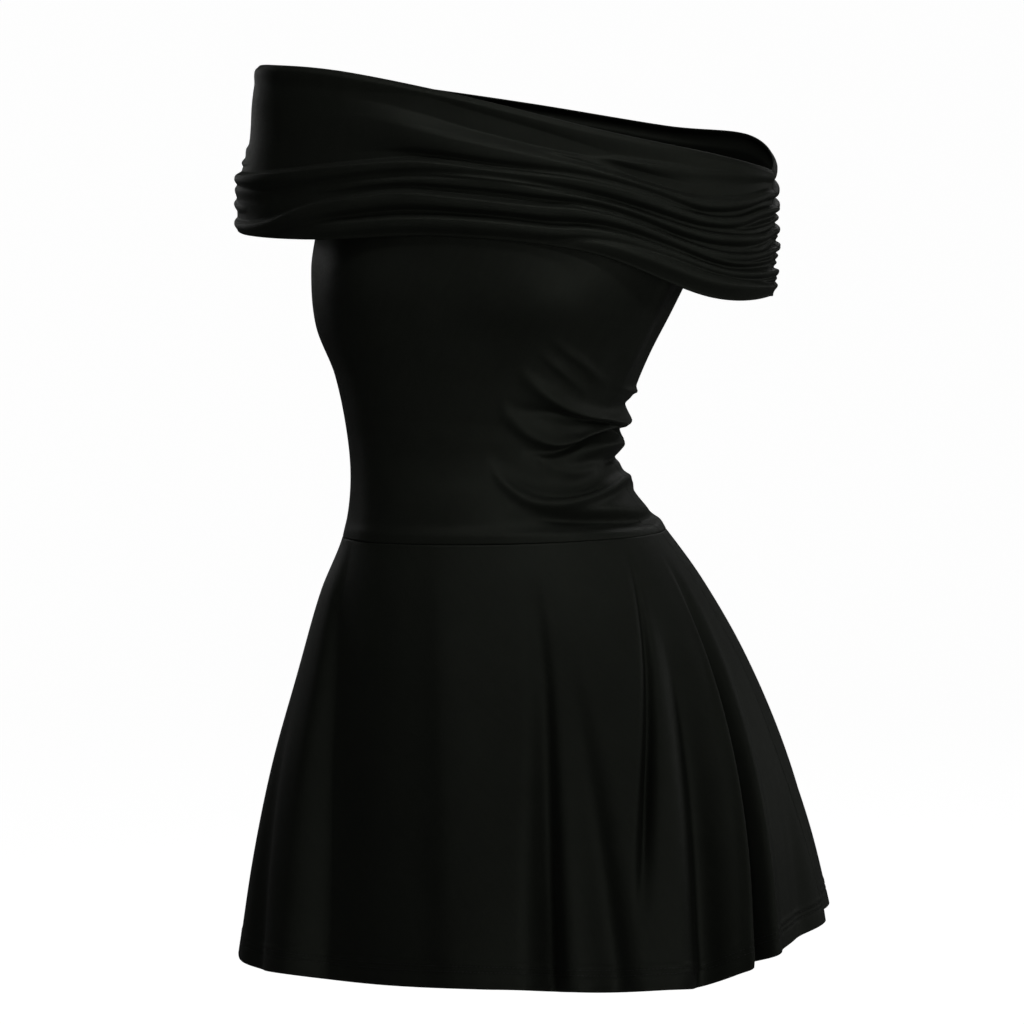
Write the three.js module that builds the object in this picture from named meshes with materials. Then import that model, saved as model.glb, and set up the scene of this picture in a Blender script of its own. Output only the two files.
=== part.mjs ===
// Off-the-shoulder dress with a draped collar, a fitted bodice and a flared skirt, hollow and in the
// pose that it is worn in. Millimetres, +Z up. The front faces -Y and the wearer's left side is +X.
// The origin is in the middle of the torso's hollow, at the height where the collar holds the upper arms.
// An angle goes round the body: 0 is the +X side, 90 the middle of the front, 180 the -X side and 270
// the middle of the back. A level is the height of the middle of a ring, before the ring is tilted.

import * as THREE from "three";

// Driving sizes
const CLOTH = 2; // thickness of every wall
const SEAM_GAP = 0.3; // between two pieces where they are sewn together
const WAIST_SEAM_LEVEL = -289;
const HEM_LEVEL = -647;
const UNDERARM_LEVEL = -26;
const NECKLINE_BELOW_COLLAR = 7; // the bodice's upper edge is this far under the collar's
const ARMHOLE_FROM = 12; // degrees from the side where the armhole's edge starts to rise
const ARMHOLE_TO = 50; // and where it meets the neckline
const COLLAR_SHIFT = -11;
const COLLAR_CLEARANCE = 0.9; // from the bodice's face to the collar's inner face

// Rings of the body of the dress. shift moves a ring along X, tilt lifts its +X side in degrees,
// halfWidth is its half axis along X, and front and back are its half axes towards -Y and +Y.
const RINGS = [
  { level: 95, shift: -11, tilt: -11, halfWidth: 229, front: 86, back: 90 },
  { level: 50, shift: -11, tilt: -11, halfWidth: 226, front: 95, back: 95 },
  { level: 0, shift: -9, tilt: -9.5, halfWidth: 186, front: 104, back: 98 },
  { level: -35, shift: -8, tilt: -8, halfWidth: 172, front: 108, back: 98 },
  { level: -78, shift: -20, tilt: -6, halfWidth: 165, front: 106, back: 95 },
  { level: -121, shift: -28, tilt: -4, halfWidth: 153, front: 98, back: 88 },
  { level: -160, shift: -27, tilt: -2.5, halfWidth: 136, front: 89, back: 82 },
  { level: -210, shift: -29, tilt: 0, halfWidth: 122, front: 84, back: 80 },
  { level: -250, shift: -21, tilt: 1.5, halfWidth: 127, front: 92, back: 90 },
  { level: -289, shift: -9, tilt: 2.5, halfWidth: 146, front: 103, back: 108 },
  { level: -335, shift: -3, tilt: 3.3, halfWidth: 173, front: 118, back: 124 },
  { level: -400, shift: 5, tilt: 4.2, halfWidth: 202, front: 138, back: 143 },
  { level: -480, shift: 10, tilt: 5, halfWidth: 232, front: 160, back: 163 },
  { level: -560, shift: 14, tilt: 5.6, halfWidth: 254, front: 178, back: 180 },
  { level: -647, shift: 17, tilt: 6, halfWidth: 271, front: 192, back: 192 },
];

// The bust's two rounded forms, on each side of the middle of the front
const BUST = { apart: 31, level: -72, rise: 11, across: 21, up: 36 };

// The collar's edges at places round the body
const COLLAR_EDGES = [
  { angle: 0, upper: 71, lower: -50 },
  { angle: 30, upper: 77, lower: -55 },
  { angle: 60, upper: 80, lower: -27 },
  { angle: 90, upper: 86, lower: -31 },
  { angle: 120, upper: 86, lower: -50 },
  { angle: 150, upper: 78, lower: -58 },
  { angle: 180, upper: 72, lower: -56 },
  { angle: 210, upper: 73, lower: -54 },
  { angle: 240, upper: 78, lower: -46 },
  { angle: 270, upper: 83, lower: -38 },
  { angle: 300, upper: 87, lower: -40 },
  { angle: 330, upper: 94, lower: -52 },
  { angle: 360, upper: 71, lower: -50 },
];

// The collar's half widths from its upper edge to its lower one, over the arm on each side
const COLLAR_WIDTHS = [
  { share: 0, plusX: 246, minusX: 227 },
  { share: 0.1, plusX: 246, minusX: 231 },
  { share: 0.25, plusX: 246, minusX: 234 },
  { share: 0.5, plusX: 246, minusX: 236 },
  { share: 0.75, plusX: 244, minusX: 246 },
  { share: 1, plusX: 243, minusX: 246 },
];

// Crest lines of the collar's draped folds, as shares of its height at 0, 30, ... 330 degrees. The folds
// run on through the gathered seams over the arms. rise is how far a fold stands out.
const CREST_STEP = 30;
const COLLAR_CRESTS = [
  { name: "neck", rise: 3, share: [0.02, 0.02, 0.02, 0.02, 0.02, 0.02, 0.02, 0.02, 0.02, 0.02, 0.02, 0.02] },
  { name: "upper", rise: 7, share: [0.17, 0.29, 0.3, 0.31, 0.31, 0.36, 0.38, 0.36, 0.31, 0.28, 0.25, 0.21] },
  { name: "second", rise: 6, share: [0.29, 0.43, 0.44, 0.5, 0.58, 0.66, 0.68, 0.63, 0.56, 0.48, 0.42, 0.34] },
  { name: "third", rise: 6, share: [0.46, 0.55, 0.56, 0.6, 0.7, 0.78, 0.79, 0.74, 0.67, 0.6, 0.54, 0.5] },
  { name: "fourth", rise: 7, share: [0.6, 0.67, 0.67, 0.72, 0.8, 0.88, 0.88, 0.84, 0.78, 0.72, 0.68, 0.63] },
  { name: "fifth", rise: 7, share: [0.76, 0.78, 0.78, 0.85, 0.9, 0.94, 0.94, 0.92, 0.88, 0.84, 0.81, 0.78] },
  { name: "lower", rise: 5, share: [0.91, 0.91, 0.92, 0.95, 0.96, 0.98, 0.98, 0.97, 0.95, 0.94, 0.93, 0.92] },
];
const FOLD_STEEPNESS = 0.42; // the most a fold stands out, as a share of its own height
const CREST_AT = 0.24; // the crest is this share of the way down its own fold
const FOLD_SHARES = [0, 0.24, 0.62]; // the rows of points in each fold

// Creases where the bodice is pressed together at the bent side. angle and level run from start to
// end through middle. rise is negative in a trough.
const CREASES = [
  { start: [54, -114], middle: [40, -133], end: [24, -150], rise: 3, width: 9 },
  { start: [60, -140], middle: [38, -170], end: [-10, -184], rise: 5, width: 8 },
  { start: [62, -164], middle: [34, -184], end: [-8, -193], rise: -4.5, width: 6 },
  { start: [68, -174], middle: [42, -207], end: [0, -196], rise: 5, width: 8 },
  { start: [44, -218], middle: [18, -207], end: [-14, -216], rise: 6, width: 9 },
  { start: [76, -222], middle: [48, -260], end: [-4, -240], rise: 5, width: 9 },
  { start: [62, -271], middle: [28, -267], end: [-14, -270], rise: -3, width: 8 },
  { start: [-58, -152], middle: [-34, -178], end: [-6, -186], rise: 4.5, width: 9 },
  { start: [-66, -186], middle: [-40, -214], end: [-8, -207], rise: 4.5, width: 9 },
  { start: [-64, -228], middle: [-36, -254], end: [-6, -241], rise: 4.5, width: 10 },
];
const CREASE_STEPS = 24;

// How much lower than its tilted ring the hem hangs at places round the body
const HEM_DROPS = [
  { angle: 0, drop: -10 },
  { angle: 14, drop: -5 },
  { angle: 26, drop: 4 },
  { angle: 38, drop: 15 },
  { angle: 50, drop: 12 },
  { angle: 62, drop: 8 },
  { angle: 78, drop: 1 },
  { angle: 105, drop: -4 },
  { angle: 125, drop: -5 },
  { angle: 150, drop: -1 },
  { angle: 180, drop: 0 },
  { angle: 285, drop: 0 },
  { angle: 330, drop: -16 },
  { angle: 345, drop: -14 },
  { angle: 360, drop: -10 },
];

// The skirt's troughs, between broad flutes. A trough starts at a share of the skirt's length and
// goes from one angle at the waist seam to another at the hem, bowed by some degrees halfway. depth
// is at the hem, width in degrees.
const TROUGHS = [
  { top: 12, hem: 28, bow: 0, from: 0.08, depth: 24, width: 3.5 },
  { top: 27, hem: 40, bow: 0, from: 0.3, depth: 15, width: 4.8 },
  { top: 28, hem: 54, bow: 5, from: 0.02, depth: 13, width: 3.8 },
  { top: 60, hem: 57, bow: 0, from: 0.34, depth: 11, width: 3.6 },
  { top: 63, hem: 67, bow: 2, from: 0.1, depth: 22, width: 3.8 },
  { top: 96, hem: 86, bow: -1, from: 0.2, depth: 11, width: 6 },
  { top: 112, hem: 101, bow: 0, from: 0.3, depth: 9, width: 6 },
  { top: 143, hem: 119, bow: -5, from: 0.12, depth: 14, width: 6 },
  { top: 160, hem: 144, bow: 0, from: 0.4, depth: 9, width: 6 },
  { top: 188, hem: 180, bow: 0, from: 0.15, depth: 15, width: 6 },
  { top: 206, hem: 204, bow: 0, from: 0.22, depth: 18, width: 6 },
  { top: 232, hem: 228, bow: 0, from: 0.3, depth: 14, width: 5.5 },
  { top: 252, hem: 250, bow: 0, from: 0.18, depth: 19, width: 5.5 },
  { top: 272, hem: 273, bow: 0, from: 0.28, depth: 15, width: 5.5 },
  { top: 290, hem: 295, bow: 0, from: 0.15, depth: 19, width: 5.5 },
  { top: 308, hem: 315, bow: 0, from: 0.25, depth: 15, width: 5 },
  { top: 334, hem: 353, bow: 0, from: 0.2, depth: 15, width: 4.6 },
  { top: 354, hem: 370, bow: 0, from: 0.35, depth: 8, width: 4.6 },
];

// Grids: points across and down in each panel
const BODICE_ACROSS = 30;
const BODICE_CROWDING = 1.5; // the columns crowd towards the bent side
const BODICE_DOWN = { chest: 8, waist: 19 };
const CREASED_FROM = -138; // the level under which the bodice's rows are close together
const SKIRT_GRID = { across: 76, down: 9 };
const COLLAR_ACROSS = 30;

const DEGREE = Math.PI / 180;
const SMALL_STEP = 0.5; // in degrees or millimetres, to measure slopes with
const SMALL_FOLD_STEP = 0.04; // in folds of the collar
const HALF_TURN = 180;
const FULL_TURN = 360;

const jersey = new THREE.MeshStandardMaterial({ color: 0x121312, roughness: 0.85, metalness: 0 });

/** A share from 0 to 1 that eases in and out. */
function eased(share) {
  const t = THREE.MathUtils.clamp(share, 0, 1);
  return t * t * (3 - 2 * t);
}

/** A smooth curve through values at rising places, with the slope at each from its neighbours. */
function curveThrough(places, values, at) {
  const last = places.length - 1;
  let i = 0;
  while (i < last - 1 && at > places[i + 1]) {
    i += 1;
  }
  const slope = (k) => {
    const before = Math.max(k - 1, 0);
    const after = Math.min(k + 1, last);
    return (values[after] - values[before]) / (places[after] - places[before]);
  };
  const span = places[i + 1] - places[i];
  const t = THREE.MathUtils.clamp((at - places[i]) / span, 0, 1);
  const t2 = t * t;
  const t3 = t2 * t;
  return (
    (2 * t3 - 3 * t2 + 1) * values[i] +
    (t3 - 2 * t2 + t) * span * slope(i) +
    (3 * t2 - 2 * t3) * values[i + 1] +
    (t3 - t2) * span * slope(i + 1)
  );
}

/** An angle brought into 0 to 360 degrees. */
function wrapped(angle) {
  return THREE.MathUtils.euclideanModulo(angle, FULL_TURN);
}

/** The shortest way from one angle to another, in degrees, with its sign. */
function turnFrom(from, to) {
  return THREE.MathUtils.euclideanModulo(to - from + HALF_TURN, FULL_TURN) - HALF_TURN;
}

/** How many degrees an angle lies from the nearer side of the body. */
function fromSide(angle) {
  const turned = wrapped(angle);
  return Math.min(turned, Math.abs(turned - HALF_TURN), FULL_TURN - turned);
}

/** The columns of a table of rows, each as a list. */
function columnsOf(rows) {
  return Object.fromEntries(Object.keys(rows[0]).map((key) => [key, rows.map((row) => row[key])]));
}

const RING_COLUMNS = columnsOf([...RINGS].reverse());
const EDGE_COLUMNS = columnsOf(COLLAR_EDGES);
const WIDTH_COLUMNS = columnsOf(COLLAR_WIDTHS);
const HEM_COLUMNS = columnsOf(HEM_DROPS);
const CREST_PLACES = Array.from({ length: FULL_TURN / CREST_STEP + 1 }, (_, i) => i * CREST_STEP);
const CREST_SHARES = COLLAR_CRESTS.map((crest) => [...crest.share, crest.share[0]]);

/** One column of the table of rings, at any level. */
function ringValue(column, level) {
  return curveThrough(RING_COLUMNS.level, RING_COLUMNS[column], level);
}

/** How far the bust stands out of its ring. */
function bustRise(angle, level) {
  const up = Math.exp(-(((level - BUST.level) / BUST.up) ** 2));
  const side = (sign) => Math.exp(-((turnFrom(90 + sign * BUST.apart, angle) / BUST.across) ** 2));
  return BUST.rise * up * (side(1) + side(-1));
}

/** A point on a ring of the given half width and shift, tilted with the ring at its level. */
function onRing(angle, level, halfWidth, shift, out) {
  const across = halfWidth * Math.cos(angle * DEGREE);
  const depth = ringValue(Math.sin(angle * DEGREE) > 0 ? "front" : "back", level);
  const forward = depth * Math.sin(angle * DEGREE) + bustRise(angle, level);
  const tilt = ringValue("tilt", level) * DEGREE;
  const spread = 1 + out / depth;
  return new THREE.Vector3(
    shift + across * Math.cos(tilt) + out * Math.cos(angle * DEGREE),
    -forward * spread,
    level + across * Math.sin(tilt),
  );
}

/** The body of the dress before its creases and flutes. */
function bodyForm(angle, level) {
  return onRing(angle, level, ringValue("halfWidth", level), ringValue("shift", level), 0);
}

/** The outward normal of a form. step is a small change of the form's second measure. */
function normalOf(form, angle, down, step = SMALL_STEP) {
  const round = form(angle + SMALL_STEP, down).sub(form(angle - SMALL_STEP, down));
  const along = form(angle, down + step).sub(form(angle, down - step));
  const normal = along.cross(round).normalize();
  const outwards = new THREE.Vector3(Math.cos(angle * DEGREE), -Math.sin(angle * DEGREE), 0);
  return normal.dot(outwards) < 0 ? normal.negate() : normal;
}

/** A point at a share of a crease, on a curve that passes near its middle. */
function creasePoint(crease, share) {
  const rest = 1 - share;
  const bend = (i) => 2 * crease.middle[i] - (crease.start[i] + crease.end[i]) / 2;
  const at = (i) => rest * rest * crease.start[i] + 2 * rest * share * bend(i) + share * share * crease.end[i];
  return { angle: at(0), level: at(1) };
}

/** How far the creases move a point of the bodice outwards. */
function creaseRise(angle, level) {
  const radius = ringValue("halfWidth", level);
  let rise = 0;
  for (const crease of CREASES) {
    let nearest = Infinity;
    let nearestShare = 0;
    for (let i = 0; i <= CREASE_STEPS; i += 1) {
      const point = creasePoint(crease, i / CREASE_STEPS);
      const across = turnFrom(point.angle, angle) * DEGREE * radius;
      const distance = Math.hypot(across, level - point.level);
      if (distance < nearest) {
        nearest = distance;
        nearestShare = i / CREASE_STEPS;
      }
    }
    const taper = eased(nearestShare / 0.5);
    rise += crease.rise * taper * Math.exp(-((nearest / crease.width) ** 2));
  }
  return rise;
}

/** The bodice's outer face. */
function bodice(angle, level) {
  return bodyForm(angle, level).addScaledVector(normalOf(bodyForm, angle, level), creaseRise(angle, level));
}

/** How far down the skirt a level is, from 0 at the waist seam to 1 at the hem. */
function skirtShare(level) {
  return (WAIST_SEAM_LEVEL - level) / (WAIST_SEAM_LEVEL - HEM_LEVEL);
}

/** How deep the skirt's troughs go at a point. */
function troughDepth(angle, level) {
  const share = skirtShare(level);
  let depth = 0;
  for (const trough of TROUGHS) {
    const middle = trough.top + (trough.hem - trough.top) * share + trough.bow * 4 * share * (1 - share);
    const grown = eased((share - trough.from) / (1 - trough.from)) ** 0.7;
    const away = turnFrom(middle, angle) / trough.width;
    depth += trough.depth * grown * Math.exp(-(away ** 2));
  }
  return depth;
}

/** The skirt's outer face. */
function skirt(angle, level) {
  return bodyForm(angle, level).addScaledVector(normalOf(bodyForm, angle, level), -troughDepth(angle, level));
}

/** The level of one of the collar's edges. */
function collarEdge(edge, angle) {
  return curveThrough(EDGE_COLUMNS.angle, EDGE_COLUMNS[edge], wrapped(angle));
}

/** The share of the collar's height at which one of its crest lines runs. */
function crestShare(index, angle) {
  return index === COLLAR_CRESTS.length ? 1 : curveThrough(CREST_PLACES, CREST_SHARES[index], wrapped(angle));
}

/** How far a fold stands out at a share of its own height: quickly out to its crest, slowly back. */
function foldProfile(share) {
  return share < CREST_AT ? eased(share / CREST_AT) : 1 - eased((share - CREST_AT) / (1 - CREST_AT));
}

/** The collar's outer face. fold counts the folds from the top: 2.5 is halfway down the third one. */
function collar(angle, fold) {
  const index = THREE.MathUtils.clamp(Math.floor(fold), 0, COLLAR_CRESTS.length - 1);
  const within = fold - index;
  const first = index === 0 ? 0 : crestShare(index, angle);
  const foldShare = crestShare(index + 1, angle) - first;
  const share = first + foldShare * within;
  const upper = collarEdge("upper", angle);
  const height = upper - collarEdge("lower", angle);
  const rise = Math.min(COLLAR_CRESTS[index].rise, FOLD_STEEPNESS * foldShare * height);
  const level = upper - height * share;
  const side = Math.cos(angle * DEGREE) > 0 ? "plusX" : "minusX";
  const halfWidth = curveThrough(WIDTH_COLUMNS.share, WIDTH_COLUMNS[side], share);
  const out = COLLAR_CLEARANCE + CLOTH + rise * foldProfile(within);
  return onRing(angle, level, halfWidth, COLLAR_SHIFT, out);
}

/** The level of the bodice's upper edge: the neckline, falling along the armholes to the underarms. */
function bodiceTop(angle) {
  const neckline = collarEdge("upper", angle) - NECKLINE_BELOW_COLLAR;
  const share = eased((fromSide(angle) - ARMHOLE_FROM) / (ARMHOLE_TO - ARMHOLE_FROM));
  return THREE.MathUtils.lerp(UNDERARM_LEVEL, neckline, share);
}

/** A closed wall, its outer face through form at every column and row and its inner face CLOTH further in. */
function wall(name, form, angles, rowsAt, step) {
  const rows = rowsAt(angles[0]).length;
  const outer = [];
  const inner = [];
  for (const angle of angles) {
    for (const down of rowsAt(angle)) {
      const point = form(angle, down);
      outer.push(point);
      inner.push(point.clone().addScaledVector(normalOf(form, angle, down, step), -CLOTH));
    }
  }
  const positions = [...outer, ...inner].flatMap((point) => point.toArray());
  const at = (column, row, side) => side * outer.length + column * rows + row;
  const faces = [];
  const quad = (a, b, c, d) => faces.push(a, c, b, a, d, c);
  for (let column = 0; column < angles.length - 1; column += 1) {
    for (let row = 0; row < rows - 1; row += 1) {
      quad(at(column, row, 0), at(column, row + 1, 0), at(column + 1, row + 1, 0), at(column + 1, row, 0));
      quad(at(column, row, 1), at(column + 1, row, 1), at(column + 1, row + 1, 1), at(column, row + 1, 1));
    }
    quad(at(column, 0, 0), at(column + 1, 0, 0), at(column + 1, 0, 1), at(column, 0, 1));
    quad(at(column, rows - 1, 0), at(column, rows - 1, 1), at(column + 1, rows - 1, 1), at(column + 1, rows - 1, 0));
  }
  const last = angles.length - 1;
  for (let row = 0; row < rows - 1; row += 1) {
    quad(at(0, row, 0), at(0, row, 1), at(0, row + 1, 1), at(0, row + 1, 0));
    quad(at(last, row, 0), at(last, row + 1, 0), at(last, row + 1, 1), at(last, row, 1));
  }
  const geometry = new THREE.BufferGeometry();
  geometry.setAttribute("position", new THREE.Float32BufferAttribute(positions, 3));
  geometry.setIndex(faces);
  geometry.computeVertexNormals();
  const mesh = new THREE.Mesh(geometry, jersey);
  mesh.name = name;
  return mesh;
}

/**
 * Angles across a half of the dress, from one side seam to the other, half a seam gap inside each.
 * Above 1, crowding brings them closer together towards the +X side.
 */
function acrossHalf(start, count, sideRadius, crowding = 1) {
  const margin = SEAM_GAP / 2 / sideRadius / DEGREE;
  const span = HALF_TURN - 2 * margin;
  const share = (t) => (start === 0 ? t ** crowding : 1 - (1 - t) ** crowding);
  return Array.from({ length: count }, (_, i) => start + margin + span * share(i / (count - 1)));
}

/** Levels from one height down to another. */
function levelsDown(top, bottom, count) {
  return Array.from({ length: count }, (_, i) => top + ((bottom - top) * i) / (count - 1));
}

/** The fold counts of the collar's rows, from its upper edge to its lower one. */
function collarRows() {
  const rows = COLLAR_CRESTS.flatMap((_, fold) => FOLD_SHARES.map((share) => fold + share));
  return [...rows, COLLAR_CRESTS.length];
}

/** The levels of the bodice's rows at an angle: apart over the chest, close together at the waist. */
function bodiceRows(angle) {
  const chest = levelsDown(bodiceTop(angle), CREASED_FROM, BODICE_DOWN.chest);
  const waist = levelsDown(CREASED_FROM, WAIST_SEAM_LEVEL + SEAM_GAP / 2, BODICE_DOWN.waist);
  return [...chest.slice(0, -1), ...waist];
}

/** A front or back panel of the bodice. */
function bodicePanel(name, start) {
  const sideRadius = ringValue("back", WAIST_SEAM_LEVEL);
  return wall(name, bodice, acrossHalf(start, BODICE_ACROSS, sideRadius, BODICE_CROWDING), bodiceRows);
}

/** The level of the hem. */
function hemLevel(angle) {
  return HEM_LEVEL - curveThrough(HEM_COLUMNS.angle, HEM_COLUMNS.drop, wrapped(angle));
}

/** A front or back panel of the skirt. */
function skirtPanel(name, start) {
  const top = WAIST_SEAM_LEVEL - SEAM_GAP / 2;
  const angles = acrossHalf(start, SKIRT_GRID.across, ringValue("back", WAIST_SEAM_LEVEL));
  return wall(name, skirt, angles, (angle) => levelsDown(top, hemLevel(angle), SKIRT_GRID.down));
}

/** The front or back half of the draped collar, from one gathered arm seam to the other. */
function collarPanel(name, start) {
  const angles = acrossHalf(start, COLLAR_ACROSS, ringValue("front", 0));
  return wall(name, collar, angles, collarRows, SMALL_FOLD_STEP);
}

const dress = new THREE.Group();
dress.add(
  bodicePanel("bodice_front", 0),
  bodicePanel("bodice_back", HALF_TURN),
  skirtPanel("skirt_front", 0),
  skirtPanel("skirt_back", HALF_TURN),
  collarPanel("collar_front", 0),
  collarPanel("collar_back", HALF_TURN),
);

export default dress;
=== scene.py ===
"""Off-the-shoulder dress in black stretch jersey: draped collar, fitted bodice and flared skirt.

The dress is hollow and keeps its worn pose. Its tables are in millimetres and degrees, and its meshes
in metres, in the part's frame: +Z up, the front faces -Y and the wearer's left side is +X. An angle
goes round the body: 0 is the +X side, 90 the middle of the front, 180 the -X side, 270 the back.
"""

import logging
import math
from collections.abc import Sequence
from dataclasses import dataclass, field
from enum import Enum

import bpy
import numpy as np
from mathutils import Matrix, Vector

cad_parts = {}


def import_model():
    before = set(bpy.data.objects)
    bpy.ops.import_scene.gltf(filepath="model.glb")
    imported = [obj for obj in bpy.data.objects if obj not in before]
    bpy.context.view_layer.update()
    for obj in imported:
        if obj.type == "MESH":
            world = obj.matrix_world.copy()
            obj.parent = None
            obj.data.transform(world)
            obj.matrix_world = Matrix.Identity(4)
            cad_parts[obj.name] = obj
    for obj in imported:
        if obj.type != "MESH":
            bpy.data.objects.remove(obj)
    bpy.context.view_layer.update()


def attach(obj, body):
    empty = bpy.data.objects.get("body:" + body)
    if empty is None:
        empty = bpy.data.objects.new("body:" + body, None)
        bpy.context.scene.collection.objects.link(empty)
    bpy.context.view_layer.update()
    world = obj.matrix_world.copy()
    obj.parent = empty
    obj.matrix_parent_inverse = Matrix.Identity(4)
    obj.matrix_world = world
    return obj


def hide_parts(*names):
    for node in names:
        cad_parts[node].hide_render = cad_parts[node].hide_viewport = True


LOG = logging.getLogger("dress")
Socket = bpy.types.NodeSocket
Triple = tuple[float, float, float]
Row = tuple[float, float, float, float, float]

MM = 0.001
CLOTH = 2.0  # thickness of every wall
WAIST_SEAM_LEVEL = -289.0
HEM_LEVEL = -647.0
COLLAR_SHIFT = -11.0
COLLAR_CLEARANCE = 0.9
NARROWEST = 0.5  # no side of a fold is narrower than this, in mm
ROLLED = {"fullness": 3.6, "undercut": 0.42}  # the fullness of a fold that rolls over a little
QUARTER_TURN = 90.0
HALF_TURN = 180.0
FULL_TURN = 360.0


class Half(Enum):
    """The two halves of the dress, by the angle at which each starts."""

    FRONT = 0.0
    BACK = HALF_TURN


class Edge(Enum):
    """The collar's two edges, by their column in its table."""

    UPPER = 1
    LOWER = 2


class Held(Enum):
    """How the cloth of a panel is held."""

    STRETCHED = "stretched"
    HUNG = "hung"
    GATHERED = "gathered"


class Curve:
    """A smooth curve through a short table, with the slope at each row from its neighbours."""

    def __init__(self, places: Sequence[float], values: Sequence[float]) -> None:
        """Keep the rows.

        Args:
            places: where the rows are, rising.
            values: the curve's value at each place.
        """
        self.places = np.array(places, float)
        self.values = np.array(values, float)
        last = len(places) - 1
        before = np.maximum(np.arange(last + 1) - 1, 0)
        after = np.minimum(np.arange(last + 1) + 1, last)
        rise = self.values[after] - self.values[before]
        self.slopes = rise / (self.places[after] - self.places[before])

    def __call__(self, at: np.ndarray) -> np.ndarray:
        """Read the curve.

        Args:
            at: places to read it at.

        Returns:
            The curve's value at each of them.
        """
        i = np.clip(np.searchsorted(self.places, at) - 1, 0, len(self.places) - 2)
        span = self.places[i + 1] - self.places[i]
        t = np.clip((at - self.places[i]) / span, 0.0, 1.0)
        t2, t3 = t * t, t * t * t
        return (
            (2 * t3 - 3 * t2 + 1) * self.values[i]
            + (t3 - 2 * t2 + t) * span * self.slopes[i]
            + (3 * t2 - 2 * t3) * self.values[i + 1]
            + (t3 - t2) * span * self.slopes[i + 1]
        )


def eased(share: np.ndarray) -> np.ndarray:
    """A share from 0 to 1 that eases in and out."""
    t = np.clip(share, 0.0, 1.0)
    return t * t * (3 - 2 * t)


def turn_from(start: np.ndarray, to: np.ndarray) -> np.ndarray:
    """The shortest way from one angle to another, in degrees, with its sign."""
    return np.mod(to - start + HALF_TURN, FULL_TURN) - HALF_TURN


def from_side(angle: np.ndarray) -> np.ndarray:
    """How many degrees an angle lies from the nearer side of the body."""
    turned = np.mod(angle, FULL_TURN)
    return np.minimum(np.minimum(turned, np.abs(turned - HALF_TURN)), FULL_TURN - turned)


@dataclass(frozen=True)
class Fold:
    """A soft fold that runs round the body.

    Each row is: angle, place (a share of the collar's height, or a level), rise in mm, and how far in
    mm the fold falls away above its crest and below it. A negative rise is a trough.
    """

    name: str
    rows: tuple[Row, ...]
    fullness: float = 2.0
    undercut: float = 0.0
    undercut_at: float = 1.9  # how many widths above the crest the undercut lies
    tail: float = 4.0  # the fold dies out over this many degrees past its first and last rows

    def lift(self, angle: np.ndarray, place: np.ndarray, scale: np.ndarray) -> np.ndarray:
        """How far the fold moves points outwards.

        Args:
            angle: the points' angles.
            place: their places, in the measure of the rows.
            scale: mm for one unit of place, positive downwards.

        Returns:
            The lift in mm.
        """
        first, last = self.rows[0][0], self.rows[-1][0]
        turned = first - self.tail + np.mod(angle - first + self.tail, FULL_TURN)
        kept = 1 - eased(np.maximum(first - turned, turned - last) / self.tail)
        angles, *columns = zip(*self.rows)
        crest, rise, above, below = (Curve(angles, column)(turned) for column in columns)
        down = (place - crest) * scale
        width = np.where(down < 0, above, below)
        power = np.where(down < 0, 2.0, self.fullness)
        fall = np.exp(-((np.abs(down) / np.maximum(width, NARROWEST)) ** power))
        fall -= self.undercut * np.exp(-(((down / np.maximum(above, NARROWEST)) + self.undercut_at) ** 2))
        return rise * fall * kept


@dataclass(frozen=True)
class Trough:
    """A trough between two flutes of the skirt.

    It goes from angle top at the waist seam to angle hem at the hem, bowed by some degrees halfway,
    starts at share start of the skirt's length and is depth mm deep at the hem. left and right are its
    widths in degrees, to the higher and to the lower angles. lip is how far the cloth beside it rolls
    outwards, as a share of its depth, and it fades out after share fade.
    """

    top: float
    hem: float
    bow: float
    start: float
    depth: float
    left: float
    right: float
    lip: float = 0.0
    fade: float = 9.0
    fade_over: float = 0.3
    growth: float = 0.7  # the power with which it deepens
    lip_at: float = 2.1  # how many widths out the lips lie
    lip_width: float = 0.9

    def depth_at(self, angle: np.ndarray, share: np.ndarray) -> np.ndarray:
        """How deep the trough is.

        Args:
            angle: the points' angles.
            share: their shares of the skirt's length.

        Returns:
            The depth in mm.
        """
        middle = self.top + (self.hem - self.top) * share + self.bow * 4 * share * (1 - share)
        grown = eased((share - self.start) / (1 - self.start)) ** self.growth
        ended = 1 - eased((share - self.fade) / self.fade_over)
        away = turn_from(middle, angle)
        away = away / np.where(away > 0, self.left, self.right)
        lips = sum(np.exp(-(((away + side * self.lip_at) / self.lip_width) ** 2)) for side in (-1, 1))
        return self.depth * grown * ended * (np.exp(-(away**2)) - self.lip * lips)


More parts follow.
